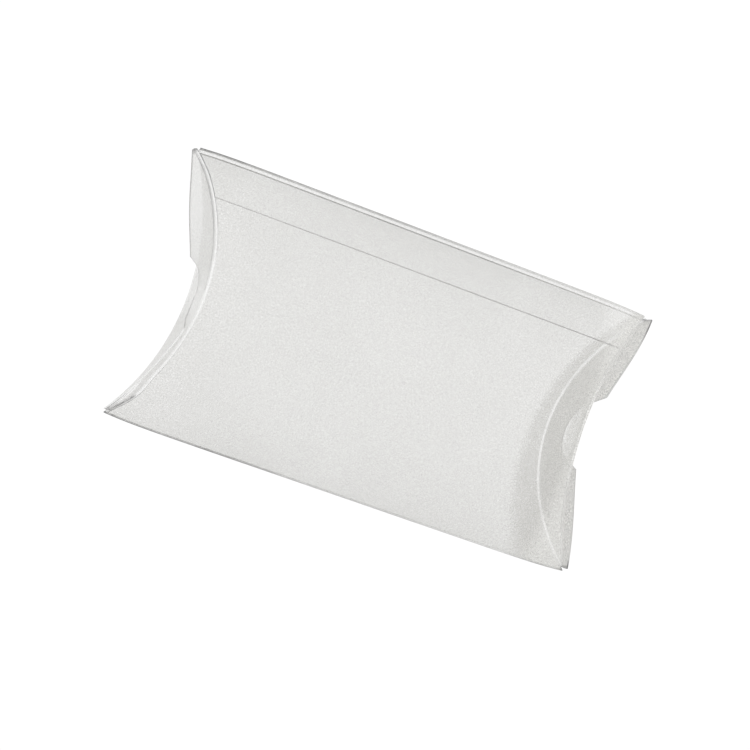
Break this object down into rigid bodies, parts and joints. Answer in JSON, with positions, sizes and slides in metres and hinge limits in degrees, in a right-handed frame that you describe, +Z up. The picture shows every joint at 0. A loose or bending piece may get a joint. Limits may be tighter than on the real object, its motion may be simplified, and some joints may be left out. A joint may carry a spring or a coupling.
{
  "type": "pillow box",
  "caption": "Clear plastic pillow box with curved panels, glued side seam and notched end flaps, all shut.",
  "frame": {"origin": "under the middle of the box, on the surface that it lies on", "axes": "+X along the side folds, towards the end whose outer flap opens; +Y across the box, towards the glued seam; +Z up through the front panel"},
  "size_m": [0.1634, 0.0898, 0.04],
  "materials": {
    "clear_sheet": "clear colourless film with a slight haze and a fine matt grain"
  },
  "bodies": {
    "box": {"folded_sheet": "clear_sheet"},
    "outer_flap": {"right_outer_flap": "clear_sheet"}
  },
  "joints": [
    {"name": "right_outer_flap_crease", "type": "hinge", "parent": "box", "child": "outer_flap", "pos_m": [0.06635, 0, 0], "axis": [0, 1, 0], "range_deg": [0, 90]}
  ]
}
